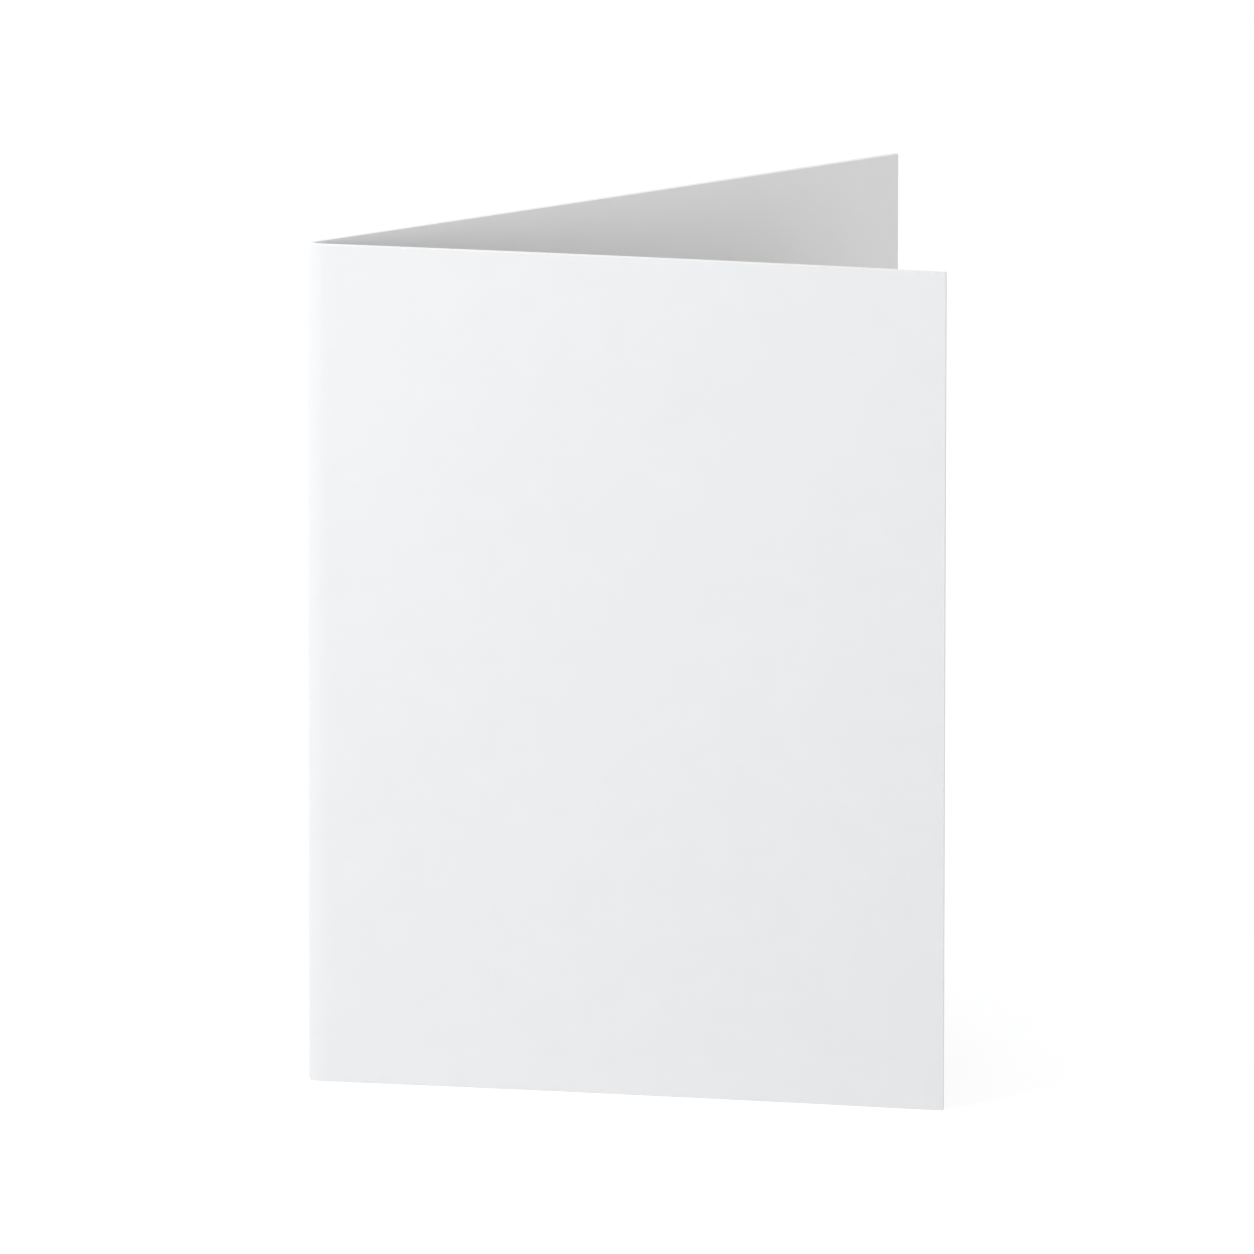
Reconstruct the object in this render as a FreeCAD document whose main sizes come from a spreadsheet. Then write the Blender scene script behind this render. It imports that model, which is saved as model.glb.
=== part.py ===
import FreeCAD, Part
import math
import os
from collections import namedtuple

import Sketcher

# A blank greeting card: one sheet of heavy cotton board, scored down its middle, folded once
# and standing open. Seen from above it is an open V, drawn here as one closed section of arcs
# and raised to the card's height.
# The origin is at the foot of the fold's axis. +Z runs up the fold, and +X along the middle of
# the opening, from the fold to the open side. The cover is on the -Y side, the back on the +Y side.

# Sizes in millimetres and degrees, each one a cell of the document's sheet
SIZES = {
    # The closed card, from the fold to the free edges, and up the fold
    "panel_width": 127.0,
    "panel_height": 177.8,
    "board_thickness": 0.9,
    # The soft arrises of the free edges, which are cut square
    "arris_radius": 0.25,
    # Between the two free edges, seen from the fold
    "opening_angle": 30.9,
    # How far each panel's middle stands in from a flat panel, towards the other one
    "cover_bow": 0.55,
    "back_bow": 0.2,
    # The rounded outside of the fold
    "fold_radius": 0.6,
    # Beside the fold the board still bends a little, as far out as the reach
    "soft_bend_radius": 18.0,
    "soft_bend_reach": 3.2,
    # The groove that the scoring rule left along the outside of the fold
    "score_width": 0.5,
    "score_depth": 0.08,
    # The bead that it pushed up along the inside
    "bead_width": 0.4,
    "bead_height": 0.1,
}

NODE = "folded_card"
COVER_SIDE = -1
BACK_SIDE = 1
QUARTER_TURN = 90
HALF_TURN = 180

# Numbers that a sketch gives to its origin and its X axis, and to the points of a curve
ORIGIN = -1
X_AXIS = -1
START = 1
END = 2
CENTRE = 3

# A curve of the section, with its end towards the fold and its end away from it
Curve = namedtuple("Curve", "index near far")
Panel = namedtuple("Panel", "nose bend face arris cut inner_arris inner_face inner_bend corner")


def point(distance, angle, start=FreeCAD.Vector()):
    """The point at a distance and an angle in degrees from a start."""
    turn = math.radians(angle)
    return start + FreeCAD.Vector(distance * math.cos(turn), distance * math.sin(turn), 0)


def arcsine(ratio):
    """The arcsine in degrees."""
    return math.degrees(math.asin(ratio))


def arc_radius(chord, rise):
    """The formula for the radius of an arc, from the cells of its chord and its rise."""
    return f"Sizes.{chord}^2 / (8 * Sizes.{rise}) + Sizes.{rise} / 2"


def make_sheet(document):
    """Write the sizes into a sheet, one row each, with its name as the cell's alias."""
    sheet = document.addObject("Spreadsheet::Sheet", "Sizes")
    for row, (name, value) in enumerate(SIZES.items(), start=1):
        sheet.set(f"A{row}", name)
        sheet.set(f"B{row}", str(value))
        sheet.setAlias(f"B{row}", name)
    document.recompute()
    return sheet


def value_of(sketch, formula):
    """What a formula of the sheet's cells comes to."""
    return float(sketch.evalExpression(formula))


def add_arc(sketch, centre, radius, near, far):
    """Draw an arc from its near angle to its far angle, in degrees."""
    first, last = sorted((near, far))
    circle = Part.Circle(centre, FreeCAD.Vector(0, 0, 1), radius)
    index = sketch.addGeometry(Part.ArcOfCircle(circle, math.radians(first), math.radians(last)))
    return Curve(index, START, END) if near < far else Curve(index, END, START)


def join(sketch, kind, *places):
    """Add a constraint that has no size."""
    sketch.addConstraint(Sketcher.Constraint(kind, *places))


def drive(sketch, name, formula, kind, *places):
    """Add a size to the sketch and bind it to a formula of the sheet's cells."""
    constraint = Sketcher.Constraint(kind, *places, value_of(sketch, formula))
    sketch.renameConstraint(sketch.addConstraint(constraint), name)
    sketch.setExpression(f"Constraints.{name}", formula)


def draw_panel(sketch, sheet, bow, side):
    """Draw one panel's curves close to their places. Its constraints then make them exact."""
    arris_radius = sheet.arris_radius
    bend_radius = sheet.soft_bend_radius
    inner_bend_radius = bend_radius - sheet.board_thickness
    bow_radius = value_of(sketch, arc_radius("panel_width", bow))
    inner_bow_radius = bow_radius + sheet.board_thickness

    # Which way the panel runs at its free edge, where its soft bend ends, and at the fold
    bow_turn = arcsine(sheet.panel_width / 2 / bow_radius)
    at_free_edge = sheet.opening_angle / 2 + bow_turn
    at_bend = sheet.opening_angle / 2 - bow_turn
    bend_offset = bend_radius - sheet.fold_radius
    bend_aside = bend_radius * math.sin(math.radians(at_bend))
    at_fold = arcsine((sheet.soft_bend_reach + bend_aside) / bend_offset)

    # The bend's centre lies on the panel's inner side, and the bow's centre on its outer side
    bend_centre = point(bend_offset, side * (at_fold - QUARTER_TURN))
    bow_centre = point(bend_radius + bow_radius, side * (at_bend + QUARTER_TURN), bend_centre)

    # The same places as angles round those centres
    fold_end = side * (at_fold + QUARTER_TURN)
    bend_end = side * (at_bend + QUARTER_TURN)
    face_start = side * (at_bend - QUARTER_TURN)
    cut_place = side * (at_free_edge - QUARTER_TURN)
    face_end = cut_place - side * math.degrees(arris_radius / bow_radius)

    # The two arrises of the free edge, and the directions in which they touch the cut and faces
    arris_centre = point(bow_radius + arris_radius, face_end, bow_centre)
    inner_arris_centre = point(inner_bow_radius - arris_radius, face_end, bow_centre)
    to_cut = side * at_free_edge
    to_face = side * (at_free_edge + QUARTER_TURN)
    to_inner_face = side * (at_free_edge - QUARTER_TURN)

    score_edge = side * (HALF_TURN - arcsine(sheet.score_width / 2 / sheet.fold_radius))
    bead_level = sheet.bead_width / 2 - side * bend_centre.y
    bead_edge = side * (HALF_TURN - arcsine(bead_level / inner_bend_radius))

    return Panel(
        nose=add_arc(sketch, FreeCAD.Vector(), sheet.fold_radius, score_edge, fold_end),
        bend=add_arc(sketch, bend_centre, bend_radius, fold_end, bend_end),
        face=add_arc(sketch, bow_centre, bow_radius, face_start, face_end),
        arris=add_arc(sketch, arris_centre, arris_radius, to_face, to_cut),
        cut=sketch.addGeometry(
            Part.LineSegment(
                point(arris_radius, to_cut, arris_centre),
                point(arris_radius, to_cut, inner_arris_centre),
            )
        ),
        inner_arris=add_arc(sketch, inner_arris_centre, arris_radius, to_inner_face, to_cut),
        inner_face=add_arc(sketch, bow_centre, inner_bow_radius, face_start, face_end),
        inner_bend=add_arc(sketch, bend_centre, inner_bend_radius, bead_edge, bend_end),
        corner=sketch.addGeometry(Part.Point(point(bow_radius, cut_place, bow_centre)), True),
    )


def hold_panel(sketch, name, panel, side):
    """Join one panel's curves and size them from the sheet."""
    nose, bend, face, arris, cut, inner_arris, inner_face, inner_bend, corner = panel

    # Outside, the fold's nose runs smoothly through the soft bend into the bowed face
    join(sketch, "Coincident", nose.index, CENTRE, ORIGIN, START)
    join(sketch, "Tangent", nose.index, nose.far, bend.index, bend.near)
    join(sketch, "Tangent", bend.index, bend.far, face.index, face.near)

    # Inside, the same curves run one thickness of the board further in
    join(sketch, "Coincident", inner_bend.index, CENTRE, bend.index, CENTRE)
    join(sketch, "Coincident", inner_face.index, CENTRE, face.index, CENTRE)
    join(sketch, "Tangent", inner_bend.index, inner_bend.far, inner_face.index, inner_face.near)

    # The corner is where the free edge's cut would meet the outside if the arris weren't rounded,
    # and there the cut is square to the face
    join(sketch, "Tangent", face.index, face.far, arris.index, arris.near)
    join(sketch, "Tangent", arris.index, arris.far, cut, START)
    join(sketch, "Tangent", cut, END, inner_arris.index, inner_arris.far)
    join(sketch, "Tangent", inner_arris.index, inner_arris.near, inner_face.index, inner_face.far)
    join(sketch, "PointOnObject", corner, START, cut)
    join(sketch, "PointOnObject", corner, START, face.index)
    join(sketch, "PerpendicularViaPoint", cut, face.index, corner, START)

    bow_radius = arc_radius("panel_width", f"{name}_bow")
    inner_radius = "Sizes.soft_bend_radius - Sizes.board_thickness"
    drive(sketch, f"{name}_nose", "Sizes.fold_radius", "Radius", nose.index)
    drive(sketch, f"{name}_bend", "Sizes.soft_bend_radius", "Radius", bend.index)
    drive(sketch, f"{name}_inner_bend", inner_radius, "Radius", inner_bend.index)
    drive(sketch, f"{name}_bow", bow_radius, "Radius", face.index)
    drive(sketch, f"{name}_arris", "Sizes.arris_radius", "Radius", arris.index)
    drive(sketch, f"{name}_inner_arris", "Sizes.arris_radius", "Radius", inner_arris.index)

    # Along and across the middle of the opening, from the fold's axis
    length = "(Sizes.panel_width - Sizes.fold_radius)"
    along = f"{length} * cos(Sizes.opening_angle / 2 * 1 deg)"
    across = f"{side} * {length} * sin(Sizes.opening_angle / 2 * 1 deg)"
    bend_place = (ORIGIN, START, bend.index, bend.far)
    corner_place = (ORIGIN, START, corner, START)
    drive(sketch, f"{name}_bend_reach", "Sizes.soft_bend_reach", "DistanceX", *bend_place)
    drive(sketch, f"{name}_corner_along", along, "DistanceX", *corner_place)
    drive(sketch, f"{name}_corner_across", across, "DistanceY", *corner_place)


def close_fold(sketch, name, chord, rise, cover_curve, back_curve):
    """Join the ends of two curves at the fold with an arc that bulges towards the opening."""
    half_chord = value_of(sketch, f"Sizes.{chord} / 2")
    radius = value_of(sketch, arc_radius(chord, rise))
    chord_place = sketch.getPoint(back_curve.index, back_curve.near).x
    centre = FreeCAD.Vector(chord_place - math.sqrt(radius**2 - half_chord**2), 0, 0)
    half_angle = arcsine(half_chord / radius)
    arc = add_arc(sketch, centre, radius, -half_angle, half_angle)

    join(sketch, "Coincident", arc.index, arc.near, cover_curve.index, cover_curve.near)
    join(sketch, "Coincident", arc.index, arc.far, back_curve.index, back_curve.near)
    join(sketch, "PointOnObject", arc.index, CENTRE, X_AXIS)
    ends = (arc.index, arc.near, arc.index, arc.far)
    drive(sketch, f"{name}_chord", f"Sizes.{chord}", "DistanceY", *ends)
    drive(sketch, f"{name}_radius", arc_radius(chord, rise), "Radius", arc.index)


def draw_section(sketch, sheet):
    """The card seen from above: two panels, and the score's groove and bead at their fold."""
    cover = draw_panel(sketch, sheet, "cover_bow", COVER_SIDE)
    back = draw_panel(sketch, sheet, "back_bow", BACK_SIDE)
    hold_panel(sketch, "cover", cover, COVER_SIDE)
    hold_panel(sketch, "back", back, BACK_SIDE)
    close_fold(sketch, "score", "score_width", "score_depth", cover.nose, back.nose)
    close_fold(sketch, "bead", "bead_width", "bead_height", cover.inner_bend, back.inner_bend)


def make_card(document, sheet):
    """The card: its section on the ground, raised to its height."""
    body = document.addObject("PartDesign::Body", NODE)
    body.Label = NODE
    sketch = body.newObject("Sketcher::SketchObject", "Section")
    ground = next(plane for plane in body.Origin.OriginFeatures if plane.Role == "XY_Plane")
    sketch.AttachmentSupport = [(ground, "")]
    sketch.MapMode = "FlatFace"
    draw_section(sketch, sheet)

    height = body.newObject("PartDesign::Pad", "Height")
    height.Profile = sketch
    height.setExpression("Length", "Sizes.panel_height")
    return body


def check(document, sub_parts):
    """Stop, before any file is written, if an object failed or a sub-part has no sound shape."""
    for item in document.Objects:
        if {"Invalid", "Error"} & set(item.State):
            raise RuntimeError(f"{item.Label} failed: {item.State}")
    for sub_part in sub_parts:
        if sub_part.Shape.isNull() or not sub_part.Shape.isValid():
            raise RuntimeError(f"{sub_part.Label} has no valid shape")


def main():
    document = FreeCAD.newDocument("GreetingCard")
    sheet = make_sheet(document)
    sub_parts = [make_card(document, sheet)]
    document.recompute()
    check(document, sub_parts)

    os.makedirs("parts", exist_ok=True)
    for sub_part in sub_parts:
        shape = sub_part.Shape
        shape.exportStep(f"parts/{sub_part.Label}.step")
        box = shape.BoundBox
        size = f"{box.XLength:.2f} x {box.YLength:.2f} x {box.ZLength:.2f} mm"
        print(f"{sub_part.Label}: {len(shape.Solids)} solid, {size}, {shape.Volume:.0f} mm3")


main()
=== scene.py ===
# A blank greeting card: one sheet of heavy cotton board, scored down its middle, folded once and
# standing open on a pale floor. All sizes are in metres. The origin is at the foot of the fold's
# axis, +Z runs up the fold and +X along the middle of the opening. The cover is on the -Y side.

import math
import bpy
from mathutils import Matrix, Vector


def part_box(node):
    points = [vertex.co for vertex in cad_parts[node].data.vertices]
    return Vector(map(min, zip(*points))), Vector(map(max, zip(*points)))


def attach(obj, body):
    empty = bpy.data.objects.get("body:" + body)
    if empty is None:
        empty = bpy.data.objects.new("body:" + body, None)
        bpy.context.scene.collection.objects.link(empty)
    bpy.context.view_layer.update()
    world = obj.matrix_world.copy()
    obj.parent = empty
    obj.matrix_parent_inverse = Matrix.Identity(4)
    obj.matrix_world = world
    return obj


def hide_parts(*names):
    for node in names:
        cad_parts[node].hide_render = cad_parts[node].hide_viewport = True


bl_info = {
    "name": "Blank Greeting Card",
    "version": (1, 0, 0),
    "blender": (4, 5, 0),
    "location": "3D View > Sidebar > Card",
    "description": "Folds a blank card from heavy cotton board and sets up a studio round it",
    "category": "Add Mesh",
}

from collections import namedtuple

import bmesh
import bpy
from bpy.props import FloatProperty, FloatVectorProperty, IntProperty, PointerProperty
from mathutils import Matrix, Vector, noise

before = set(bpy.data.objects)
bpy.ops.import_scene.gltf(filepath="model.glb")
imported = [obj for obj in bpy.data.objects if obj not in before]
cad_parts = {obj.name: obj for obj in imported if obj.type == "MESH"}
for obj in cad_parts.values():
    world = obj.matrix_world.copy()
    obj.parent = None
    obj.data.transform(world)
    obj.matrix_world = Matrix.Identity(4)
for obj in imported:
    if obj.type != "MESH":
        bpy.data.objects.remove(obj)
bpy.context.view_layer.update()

NODE = "folded_card"
PIECE = "card_of_cotton_board"
BODY = "root"
SLOT = "cotton_board"

MM = 0.001
UP = Vector((0, 0, 1))

# The fold's axis as the section shows it, and the side of the opening that each panel is on
AXIS = Vector((0, 0, 0))
COVER_SIDE = -1
BACK_SIDE = 1

# Marks the cut edges for the board's material, which paints a highlight on them and gives them
# loose fibres: one on a cut, zero on a face
CUT = "cut"

# How many straight steps draw each curve of the section. The bead has so many that the inside's
# total is the same as the outside's, and the two can be bridged
NOSE_STEPS = 6
BEND_STEPS = 16
ARRIS_STEPS = 5
SCORE_STEPS = 8
BEAD_STEPS = SCORE_STEPS + 2 * NOSE_STEPS

# How many steps round the arrises along the top and the foot
RIM_STEPS = 4

# How many lines divide the board's thickness at the ends of the fold
CROSS_CUTS = 3

# How many rounds find the slope of a face
SLOPE_ROUNDS = 8

# How close to plumb a face's normal has to be, to count as facing up or down
FACING = 0.9

# Edges that turn by this much or more stay sharp
SHARP_ANGLE = math.radians(40)

# How far in over its arris the board counts as cut, as a share of the arris's radius
ON_ARRIS = 0.9

# How long the panels' wander is from one lump to the next, and how far from the fold it sets in
WANDER_SIZE = 45 * MM
WANDER_START = 25 * MM

WHITE = (1, 1, 1, 1)

# How many sides the round floor has
FLOOR_SIDES = 64

# The light that the open floor round the card gets at least, where one makes white paper white
OPEN_FLOOR_LIGHT = 0.62

card_foot, card_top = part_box(NODE)
CARD_HEIGHT = card_top.z - card_foot.z

# Lamps stand round this point and face it. Their turn runs from the cover's front to the open
# side, in degrees as their tilt is. Their size is a disk's diameter, and their power is in watts
LAMP_AIM = Vector((0.06, 0, 0.09))
Lamp = namedtuple("Lamp", "name turn tilt distance size power colour")
LAMPS = (
    Lamp("key", -75, 34, 0.72, 0.36, 3.0, (0.908, 0.959, 1.0)),
    Lamp("fill", 20, 15, 1.4, 0.7, 3.28, (0.872, 0.909, 1.0)),
    Lamp("back", -165, 30, 1.4, 0.7, 2.8, (0.96, 0.98, 1.0)),
)


def length(name, description, default):
    """A size in metres."""
    return FloatProperty(
        name=name, description=description, default=default, min=0, precision=5, unit="LENGTH"
    )


def degrees(name, description, default):
    """An angle, whose default is given in degrees."""
    return FloatProperty(
        name=name, description=description, default=math.radians(default), subtype="ANGLE"
    )


def colour(name, description, default):
    return FloatVectorProperty(
        name=name, description=description, default=default, min=0, max=1, size=3, subtype="COLOR"
    )


def amount(name, description, default):
    """A number with no unit."""
    return FloatProperty(name=name, description=description, default=default, precision=3)


def count(name, description, default):
    return IntProperty(name=name, description=description, default=default, min=1)


class CardSizes(bpy.types.PropertyGroup):
    panel_width: length("Panel width", "The closed card, from the fold to its free edge", 127 * MM)
    panel_height: length("Panel height", "The card's height, up the fold", CARD_HEIGHT)
    board_thickness: length("Board thickness", "The thickness of the board", 0.9 * MM)
    opening_angle: degrees("Opening angle", "How far the card stands open", 30.9)
    cover_bow: length("Cover's bow", "How far the cover's middle stands in", 0.55 * MM)
    back_bow: length("Back's bow", "How far the back's middle stands in", 0.2 * MM)
    fold_radius: length("Fold radius", "The rounded outside of the fold", 0.6 * MM)
    soft_bend_radius: length("Soft bend radius", "The bend of the board beside the fold", 18 * MM)
    soft_bend_reach: length("Soft bend reach", "Where that bend ends, from the fold", 3.2 * MM)
    score_width: length("Score width", "The score's groove along the outside", 0.5 * MM)
    score_depth: length("Score depth", "The depth of the score's groove", 0.08 * MM)
    bead_width: length("Bead width", "The bead that the score pushed up inside", 0.4 * MM)
    bead_height: length("Bead height", "The height of the score's bead", 0.1 * MM)
    arris_radius: length("Arris radius", "The soft arrises of the free edges", 0.25 * MM)
    rim_radius: length("Rim radius", "The soft arrises along the top and the foot", 0.08 * MM)
    corner_radius: length("Corner radius", "The slight rounding of the sheet's corners", 0.4 * MM)
    fold_end_slack: length("Fold end slack", "How far the fold's ends draw in", 0.8 * MM)
    fold_end_reach: length("Fold end reach", "How far from the fold they draw in", 0.9 * MM)
    waviness: length("Waviness", "How far the panels wander from a true surface", 0.07 * MM)
    face_steps: count("Face steps", "Faces across each panel", 30)
    height_steps: count("Height steps", "Faces up the card", 60)


class BoardFinish(bpy.types.PropertyGroup):
    paper: colour("Paper", "The board's own white", (0.880, 0.885, 0.895))
    # The cuts' colour is lighter than the board's white: a painted highlight on the cut edges
    painted_cut_highlight: colour("Cut paper", "The board's fibres where it was cut", (0.95, 0.952, 0.96))
    mottle: amount("Mottle", "How much the paper's white varies in soft clouds", 0.03)
    cloud_size: length("Cloud size", "The size of the soft clouds", 8 * MM)
    felt_size: length("Felt size", "The size of the marks that the felt left", 0.9 * MM)
    tooth_size: length("Tooth size", "The size of the paper's fine tooth", 0.24 * MM)
    cloud_height: length("Cloud height", "How far the soft clouds stand up", 0.013 * MM)
    felt_height: length("Felt height", "How far the felt's marks stand up", 0.007 * MM)
    tooth_height: length("Tooth height", "How far the fine tooth stands up", 0.006 * MM)
    fibre_height: length("Fibre height", "How far loose fibres stand up on a cut", 0.026 * MM)
    roughness: amount("Roughness", "How matt the board is", 0.88)
    sheen: amount("Sheen", "The strength of the faint shine on the fibres", 0.3)


class StudioSettings(bpy.types.PropertyGroup):
    lens: FloatProperty(
        name="Lens", description="The camera's focal length", default=1024.1, unit="CAMERA"
    )
    distance: length("Distance", "From the camera to the point it looks at", 7.0466)
    turn: degrees("Turn", "How far round the camera stands, from the cover's front", -7.876)
    tilt: degrees("Tilt", "How far above the horizon the camera stands", 21.592)
    aim: FloatVectorProperty(
        name="Aim",
        description="The point that the camera looks at",
        default=(62.01 * MM, -8.7 * MM, 96.55 * MM),
        subtype="XYZ",
        unit="LENGTH",
    )
    sky: amount("Sky", "The strength of the even light from all round", 0.597)
    sky_colour: colour("Sky colour", "The colour of that light", (1.0, 0.964, 0.917))
    floor_radius: length("Floor radius", "How far the floor reaches", 12.0)
    floor_colour: colour("Floor", "The floor's colour in the light it gives back", (0.7, 0.7, 0.7))
    shadow: amount("Shadow", "How much of the card's shadow shows on the white floor", 0.3)
    shadow_reach: length("Shadow reach", "How far from the card its shadow shows", 0.45)


def on_circle(centre, radius, angle):
    """The point at an angle on a circle that lies level."""
    return centre + radius * Vector((math.cos(angle), math.sin(angle), 0))


def arc_radius(chord, rise):
    """The radius of an arc that rises this far over its chord."""
    return chord**2 / (8 * rise) + rise / 2


def arc_centre(start, end, rise):
    """The centre of an arc from start to end that bulges to the right of the way there."""
    chord = end - start
    radius = arc_radius(chord.length, rise)
    return (start + end) / 2 + UP.cross(chord).normalized() * (radius - rise)


def leave_bend(sizes, corner, bow_radius):
    """Where a face leaves the soft bend beside the fold, and the way outwards there."""
    bend = sizes.soft_bend_radius
    end = Vector((sizes.soft_bend_reach, 0, 0))

    # The face's slope sets how far out the bend ends, and that sets the slope in turn, so both
    # settle in a few rounds
    slope = sizes.opening_angle / 2
    for _ in range(SLOPE_ROUNDS):
        centre_x = end.x + bend * math.sin(slope)
        centre_y = -math.sqrt((bend - sizes.fold_radius) ** 2 - centre_x**2)
        end.y = centre_y + bend * math.cos(slope)
        chord = corner - end
        slope = math.atan2(chord.y, chord.x) - math.asin(chord.length / 2 / bow_radius)
    return end, on_circle(AXIS, 1, slope + math.pi / 2)


class PanelSection:
    """One panel seen from above. Its outside and inside are chains of arcs from the fold out to
    the free edge, each arc with its centre, its far end and its steps."""

    def __init__(self, sizes, bow, side):
        bend = sizes.soft_bend_radius
        thickness = sizes.board_thickness
        arris = sizes.arris_radius
        bow_radius = arc_radius(sizes.panel_width, bow)
        corner = on_circle(AXIS, sizes.panel_width - sizes.fold_radius, sizes.opening_angle / 2)
        bend_end, outward = leave_bend(sizes, corner, bow_radius)
        bend_centre = bend_end - outward * bend
        bow_centre = bend_end + outward * bow_radius
        nose_end = -bend_centre.normalized() * sizes.fold_radius

        # Where the score's groove and its bead start, at the shoulder and on the inner bend
        half_groove = sizes.score_width / 2
        shoulder = Vector((-math.sqrt(sizes.fold_radius**2 - half_groove**2), half_groove, 0))
        half_bead = sizes.bead_width / 2
        inner_reach = math.sqrt((bend - thickness) ** 2 - (half_bead - bend_centre.y) ** 2)
        bead_edge = Vector((bend_centre.x - inner_reach, half_bead, 0))

        # The free edge is cut square to the face, and an arris rounds it on either side
        inward = (corner - bow_centre).normalized()
        onward = UP.cross(inward)

        def round_off(centre_radius, face_radius):
            """The centre of one arris, and where the face beside it ends."""
            level = math.sqrt(centre_radius**2 - arris**2)
            centre = bow_centre + inward * level - onward * arris
            return centre, bow_centre + (centre - bow_centre).normalized() * face_radius

        inner_radius = bow_radius + thickness
        arris_centre, face_end = round_off(bow_radius + arris, bow_radius)
        inner_arris_centre, inner_face_end = round_off(inner_radius - arris, inner_radius)

        def on_side(point):
            """The point on this panel's side of the opening."""
            return Vector((point.x, side * point.y, 0))

        self.shoulder = on_side(shoulder)
        self.bead_edge = on_side(bead_edge)
        self.corner = on_side(corner)
        self.onward = on_side(onward)
        outside = (
            (AXIS, nose_end, NOSE_STEPS),
            (bend_centre, bend_end, BEND_STEPS),
            (bow_centre, face_end, sizes.face_steps),
            (arris_centre, arris_centre + onward * arris, ARRIS_STEPS),
        )
        inside = (
            (bend_centre, bend_end - outward * thickness, BEND_STEPS),
            (bow_centre, inner_face_end, sizes.face_steps),
            (inner_arris_centre, inner_arris_centre + onward * arris, ARRIS_STEPS),
        )
        self.outside = [(on_side(centre), on_side(end), steps) for centre, end, steps in outside]
        self.inside = [(on_side(centre), on_side(end), steps) for centre, end, steps in inside]

    def from_free_edge(self, point):
        """How far a point lies in from the plane of the free edge's cut."""
        return (self.corner - point).dot(self.onward)


def trace(bm, start, *ways):
    """Draw chains of arcs that all begin at one point, and return their edges."""
    before = set(bm.edges)
    first = bmesh.ops.create_vert(bm, co=start)["vert"][0]
    for arcs in ways:
        last = first
        for centre, end, steps in arcs:
            old, new = last.co - centre, end - centre
            angle = math.atan2(old.cross(new).z, old.dot(new))
            made = bmesh.ops.spin(
                bm, geom=[last], cent=centre, axis=UP, angle=angle, steps=steps, space=Matrix()
            )
            last = next(item for item in made["geom_last"] if isinstance(item, bmesh.types.BMVert))
    return [edge for edge in bm.edges if edge not in before]


def draw_section(bm, cover, back, sizes):
    """Draw the card as seen from above, as one strip of faces between its outside and inside."""
    score_centre = arc_centre(cover.shoulder, back.shoulder, sizes.score_depth)
    bead_centre = arc_centre(cover.bead_edge, back.bead_edge, sizes.bead_height)
    score = (score_centre, back.shoulder, SCORE_STEPS)
    bead = (bead_centre, back.bead_edge, BEAD_STEPS)
    outside = trace(bm, cover.shoulder, cover.outside, [score, *back.outside])
    inside = trace(bm, cover.bead_edge, cover.inside, [bead, *back.inside])
    across = bmesh.ops.bridge_loops(bm, edges=outside + inside)["edges"]

    # At the fold the cuts across the board are divided, so that the fold's ends can draw in
    fold = [edge for edge in across if edge.verts[0].co.x < sizes.soft_bend_reach]
    bmesh.ops.subdivide_edges(bm, edges=fold, cuts=CROSS_CUTS, use_grid_fill=True)


def raise_section(bm, sizes):
    """Raise the section to the card's height, short of the rims' arrises, and divide its sides."""
    made = bmesh.ops.extrude_face_region(bm, geom=bm.faces[:])
    top = [item for item in made["geom"] if isinstance(item, bmesh.types.BMVert)]
    bmesh.ops.translate(bm, verts=top, vec=UP * (sizes.panel_height - 2 * sizes.rim_radius))
    bmesh.ops.translate(bm, verts=bm.verts, vec=UP * sizes.rim_radius)
    uprights = [edge for edge in bm.edges if edge.verts[0].co.z != edge.verts[1].co.z]
    bmesh.ops.subdivide_edges(
        bm, edges=uprights, cuts=sizes.height_steps - 1, use_grid_fill=True
    )
    bmesh.ops.recalc_face_normals(bm, faces=bm.faces)


def round_rims(bm, sizes):
    """Draw in the cuts across the top and the foot in steps that follow a quarter circle."""
    top = [face for face in bm.faces if face.normal.z > FACING]
    foot = [face for face in bm.faces if face.normal.z < -FACING]
    for step in range(RIM_STEPS):
        old, new = (math.pi / 2 * number / RIM_STEPS for number in (step, step + 1))
        drawn_in = sizes.rim_radius * (math.cos(old) - math.cos(new))
        risen = sizes.rim_radius * (math.sin(new) - math.sin(old))
        bmesh.ops.inset_region(bm, faces=top + foot, thickness=drawn_in, use_even_offset=True)
        for faces, way in ((top, UP), (foot, -UP)):
            verts = list({vert for face in faces for vert in face.verts})
            bmesh.ops.translate(bm, verts=verts, vec=way * risen)


def roundness(distance, reach):
    """One at the end of a rounded corner, falling in a quarter circle to nothing at its reach."""
    short = 1 - min(max(distance / reach, 0), 1)
    return 1 - math.sqrt(1 - short**2)


def shortening(place, from_edge, sizes):
    """How far the card's top and foot draw in here, at the sheet's corners and at the fold."""
    at_corner = sizes.corner_radius * roundness(from_edge, sizes.corner_radius)
    from_fold = place.x + sizes.fold_radius
    return at_corner + sizes.fold_end_slack * roundness(from_fold, sizes.fold_end_reach)


def wander(place, side, sizes):
    """How far a panel stands in from its true surface here, in soft lumps."""
    lumps = noise.noise(Vector((place.x, side * WANDER_SIZE / 2, place.z)) / WANDER_SIZE)
    freedom = 1 - math.exp(-max(place.x, 0) / WANDER_START)
    return sizes.waviness * (1 + lumps) / 2 * freedom


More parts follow.
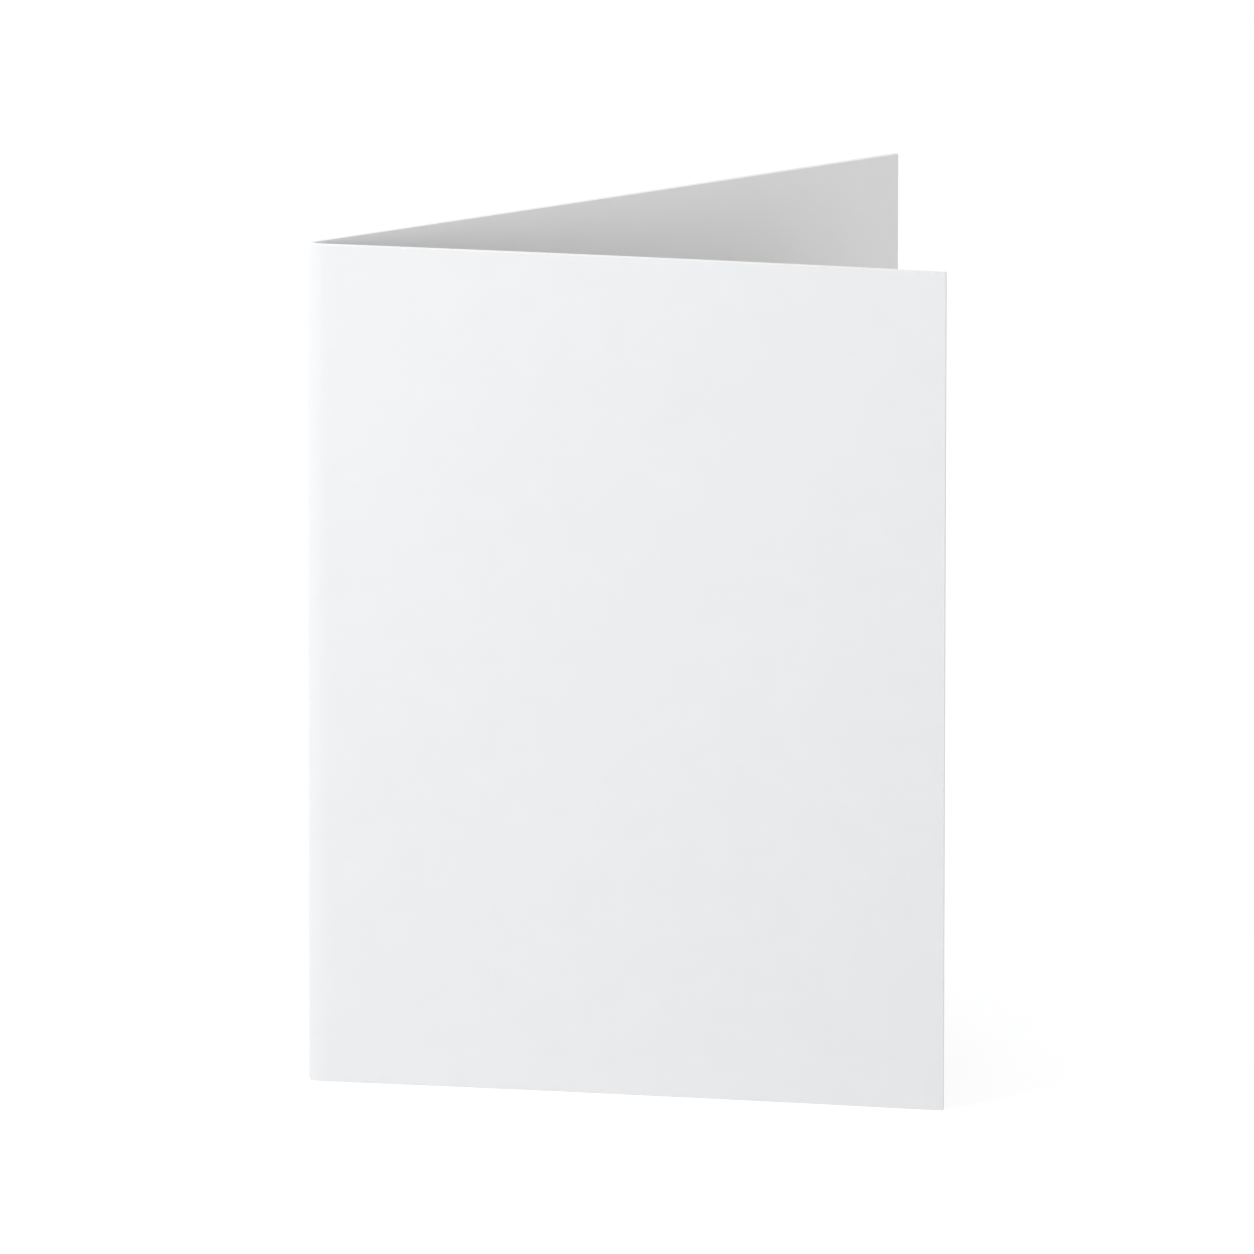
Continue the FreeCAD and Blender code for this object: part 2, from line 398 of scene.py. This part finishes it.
def settle(bm, panels, sizes):
    """Mark the cuts, round the sheet's corners, draw in the fold's ends and let the panels
    wander a little towards the opening."""
    cut = bm.verts.layers.float.new(CUT)
    middle = sizes.panel_height / 2
    for vert in bm.verts:
        place = vert.co.copy()
        side = math.copysign(1, place.y)
        from_edge = panels[side].from_free_edge(place)
        from_rim = middle - abs(place.z - middle)
        on_cut = from_edge < sizes.arris_radius * ON_ARRIS or from_rim < sizes.rim_radius * ON_ARRIS
        vert[cut] = float(on_cut)
        shorter = shortening(place, from_edge, sizes)
        vert.co.z = middle + (place.z - middle) * (1 - shorter / middle)
        vert.co.y -= side * wander(place, side, sizes)


def as_mesh(bm, name):
    """Make the finished work a mesh of its own."""
    mesh = bpy.data.meshes.new(name)
    bm.to_mesh(mesh)
    bm.free()
    return mesh


def fold_card(sizes):
    """The card's mesh, with its faces smooth and its hard edges sharp."""
    cover = PanelSection(sizes, sizes.cover_bow, COVER_SIDE)
    back = PanelSection(sizes, sizes.back_bow, BACK_SIDE)
    bm = bmesh.new()
    draw_section(bm, cover, back, sizes)
    raise_section(bm, sizes)
    round_rims(bm, sizes)
    settle(bm, {COVER_SIDE: cover, BACK_SIDE: back}, sizes)
    bm.normal_update()
    for edge in bm.edges:
        edge.smooth = edge.calc_face_angle() < SHARP_ANGLE
    for face in bm.faces:
        face.smooth = True
    return as_mesh(bm, PIECE)


def place_in_scene(scene, name, data):
    """Put an object with this data in the scene, and return it."""
    thing = bpy.data.objects.new(name, data)
    scene.collection.objects.link(thing)
    return thing


class Signal:
    """A socket of a material. A sum, difference or product of signals adds a Math node."""

    def __init__(self, shader, socket):
        self.shader = shader
        self.socket = socket

    def __add__(self, other):
        return self.shader.math("ADD", self, other)

    def __sub__(self, other):
        return self.shader.math("SUBTRACT", self, other)

    def __rsub__(self, other):
        return self.shader.math("SUBTRACT", other, self)

    def __mul__(self, other):
        return self.shader.math("MULTIPLY", self, other)

    __radd__ = __add__
    __rmul__ = __mul__


def find_socket(sockets, key):
    """A node's socket by its place in the row, or by its name among those in use."""
    if isinstance(key, int):
        return sockets[key]
    return next(socket for socket in sockets if socket.name == key and socket.enabled)


class Shader:
    """The node tree of a material or of the world."""

    def __init__(self, owner):
        owner.use_nodes = True
        self.tree = owner.node_tree
        self.tree.nodes.clear()

    def add(self, kind, output=None, settings=None, sockets=None):
        """Add a node with its settings and its sockets' values or links, and return its output."""
        node = self.tree.nodes.new(kind)
        for name, value in (settings or {}).items():
            setattr(node, name, value)
        for key, value in (sockets or {}).items():
            socket = find_socket(node.inputs, key)
            if isinstance(value, Signal):
                self.tree.links.new(value.socket, socket)
            else:
                socket.default_value = value
        if output is not None:
            return Signal(self, find_socket(node.outputs, output))

    def math(self, operation, first, second):
        sockets = {0: first, 1: second}
        return self.add("ShaderNodeMath", "Value", {"operation": operation}, sockets)

    def noise(self, place, size):
        """Soft random lumps of about this size, from zero to one."""
        return self.add("ShaderNodeTexNoise", "Fac", sockets={"Vector": place, "Scale": 1 / size})

    def ramp(self, value, start, end):
        """Zero at start, rising smoothly to one at end."""
        settings = {"interpolation_type": "SMOOTHSTEP"}
        sockets = {"Value": value, "From Min": start, "From Max": end}
        return self.add("ShaderNodeMapRange", "Result", settings, sockets)

    def mix(self, factor, first, second):
        """A colour between two."""
        sockets = {"Factor": factor, "A": first, "B": second}
        return self.add("ShaderNodeMix", "Result", {"data_type": "RGBA"}, sockets)

    def choose(self, factor, first, second):
        """The first shader where the factor is zero, and the second where it is one."""
        sockets = {0: factor, 1: first, 2: second}
        return self.add("ShaderNodeMixShader", "Shader", sockets=sockets)

    def diffuse(self, tint):
        return self.add("ShaderNodeBsdfDiffuse", "BSDF", sockets={"Color": tint})

    def glow(self, strength):
        """Plain white light."""
        sockets = {"Color": WHITE, "Strength": strength}
        return self.add("ShaderNodeEmission", "Emission", sockets=sockets)

    def seen(self):
        """One to the camera, and zero to the light that falls on other things."""
        return self.add("ShaderNodeLightPath", "Is Camera Ray")


def shaded(tint, share):
    """A colour with its light scaled, and full alpha."""
    return (*(part * share for part in tint), 1)


def board_material(finish):
    """Uncoated cotton board: matt, softly mottled, with a fine tooth, fibrous where cut and with a
    painted highlight there.
    """
    material = bpy.data.materials.new(SLOT)
    shader = Shader(material)
    place = shader.add("ShaderNodeTexCoord", "Object")
    clouds = shader.noise(place, finish.cloud_size)
    felt = shader.noise(place, finish.felt_size)
    tooth = shader.noise(place, finish.tooth_size)
    settings = {"attribute_type": "GEOMETRY", "attribute_name": CUT}
    cut = shader.add("ShaderNodeAttribute", "Fac", settings)

    pale, dark = 1 + finish.mottle / 2, 1 - finish.mottle / 2
    face_colour = shader.mix(clouds, shaded(finish.paper, dark), shaded(finish.paper, pale))
    tooth_height = finish.tooth_height * (1 - cut) + finish.fibre_height * cut

    # The height is in metres, because the bump's distance is one
    height = clouds * finish.cloud_height + felt * finish.felt_height + tooth * tooth_height
    bump = shader.add("ShaderNodeBump", "Normal", sockets={"Distance": 1, "Height": height})
    # The cut edges take that lighter colour, a painted highlight in place of the light they catch
    sockets = {
        "Base Color": shader.mix(cut, face_colour, shaded(finish.painted_cut_highlight, 1)),
        "Roughness": finish.roughness,
        "Specular IOR Level": finish.sheen,
        "Normal": bump,
    }
    surface = shader.add("ShaderNodeBsdfPrincipled", "BSDF", sockets=sockets)
    shader.add("ShaderNodeOutputMaterial", sockets={"Surface": surface})
    return material


class CARD_OT_fold_board(bpy.types.Operator):
    """Fold the card from its sheet of cotton board"""

    bl_idname = "card.fold_board"
    bl_label = "Fold the board"

    def execute(self, context):
        scene = context.scene
        mesh = fold_card(scene.card_sizes)
        mesh.materials.append(board_material(scene.card_finish))
        card = place_in_scene(scene, PIECE, mesh)
        flat = card.modifiers.new("Flat faces stay flat", "WEIGHTED_NORMAL")
        flat.keep_sharp = True
        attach(card, BODY)
        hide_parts(NODE)
        return {"FINISHED"}


def make_sky(studio):
    """Even light from all round, which the camera sees as white."""
    world = bpy.data.worlds.new("studio_sky")
    shader = Shader(world)
    values = {"Color": shaded(studio.sky_colour, 1), "Strength": studio.sky}
    light = shader.add("ShaderNodeBackground", "Background", sockets=values)
    values = {"Color": WHITE, "Strength": 1}
    white = shader.add("ShaderNodeBackground", "Background", sockets=values)
    surface = shader.choose(shader.seen(), light, white)
    shader.add("ShaderNodeOutputWorld", sockets={"Surface": surface})
    return world


def floor_material(studio):
    """A pale floor. The camera sees it as white, with a share of the card's shadow near it."""
    material = bpy.data.materials.new("pale_floor")
    shader = Shader(material)
    plain = shader.diffuse(shaded(studio.floor_colour, 1))

    # Only the sky lights the shadow, so the shadow's own colour undoes the sky's tint
    least = min(studio.sky_colour)
    neutral = [least / part for part in studio.sky_colour]
    shadow = shader.diffuse(shaded(neutral, studio.shadow))
    rest = shader.glow(1 - studio.shadow * OPEN_FLOOR_LIGHT)
    near = shader.add("ShaderNodeAddShader", "Shader", sockets={0: shadow, 1: rest})

    # The shadow fades out over as far again as it shows in full
    place = shader.add("ShaderNodeTexCoord", "Object")
    away = shader.add("ShaderNodeVectorMath", "Value", {"operation": "LENGTH"}, {0: place})
    far = shader.ramp(away, studio.shadow_reach, 2 * studio.shadow_reach)
    white = shader.choose(far, near, shader.glow(1))
    surface = shader.choose(shader.seen(), plain, white)
    shader.add("ShaderNodeOutputMaterial", sockets={"Surface": surface})
    return material


def lay_floor(scene, studio):
    bm = bmesh.new()
    bmesh.ops.create_circle(bm, cap_ends=True, segments=FLOOR_SIDES, radius=studio.floor_radius)
    mesh = as_mesh(bm, "floor")
    mesh.materials.append(floor_material(studio))
    place_in_scene(scene, "floor", mesh)


def stand(thing, aim, turn, tilt, distance):
    """Stand a lamp or the camera at a distance from the point that it faces, turned round the
    card from the cover's front and tilted up."""
    level = math.cos(tilt)
    away = Vector((math.sin(turn) * level, -math.cos(turn) * level, math.sin(tilt)))
    thing.location = aim + away * distance
    thing.rotation_euler = (-away).to_track_quat("-Z", "Y").to_euler()


def add_lamp(scene, lamp):
    """A soft lamp that points at the middle of the card. The camera sees through it."""
    data = bpy.data.lights.new(lamp.name, "AREA")
    data.shape = "DISK"
    data.size = lamp.size
    data.energy = lamp.power
    data.color = lamp.colour
    light = place_in_scene(scene, lamp.name, data)
    light.visible_camera = False
    stand(light, LAMP_AIM, math.radians(lamp.turn), math.radians(lamp.tilt), lamp.distance)


def set_camera(scene, studio):
    data = bpy.data.cameras.new("camera")
    data.lens = studio.lens

    # Far enough to see the whole floor, which is twice its radius wide
    data.clip_end = studio.distance + 2 * studio.floor_radius
    scene.camera = place_in_scene(scene, "camera", data)
    stand(scene.camera, Vector(studio.aim), studio.turn, studio.tilt, studio.distance)


class CARD_OT_set_studio(bpy.types.Operator):
    """Set the floor, the light and the camera round the card"""

    bl_idname = "card.set_studio"
    bl_label = "Set the studio"

    def execute(self, context):
        scene = context.scene
        studio = scene.card_studio
        scene.world = make_sky(studio)
        lay_floor(scene, studio)
        for lamp in LAMPS:
            add_lamp(scene, lamp)
        set_camera(scene, studio)
        scene.view_settings.view_transform = "Standard"
        return {"FINISHED"}


# Each operator with the settings that it reads
STEPS = (
    (CARD_OT_fold_board, ("card_sizes", "card_finish")),
    (CARD_OT_set_studio, ("card_studio",)),
)


class CARD_PT_sidebar(bpy.types.Panel):
    bl_label = "Greeting Card"
    bl_idname = "CARD_PT_sidebar"
    bl_space_type = "VIEW_3D"
    bl_region_type = "UI"
    bl_category = "Card"

    def draw(self, context):
        for operator, groups in STEPS:
            column = self.layout.column(align=True)
            for group in groups:
                settings = getattr(context.scene, group)
                for name in settings.__annotations__:
                    column.prop(settings, name)
            column.operator(operator.bl_idname)


CLASSES = (
    CardSizes,
    BoardFinish,
    StudioSettings,
    CARD_OT_fold_board,
    CARD_OT_set_studio,
    CARD_PT_sidebar,
)


def register():
    for item in CLASSES:
        bpy.utils.register_class(item)
    bpy.types.Scene.card_sizes = PointerProperty(type=CardSizes)
    bpy.types.Scene.card_finish = PointerProperty(type=BoardFinish)
    bpy.types.Scene.card_studio = PointerProperty(type=StudioSettings)


def unregister():
    del bpy.types.Scene.card_studio
    del bpy.types.Scene.card_finish
    del bpy.types.Scene.card_sizes
    for item in reversed(CLASSES):
        bpy.utils.unregister_class(item)


def main():
    register()
    bpy.ops.card.fold_board()
    bpy.ops.card.set_studio()


if __name__ == "__main__":
    main()
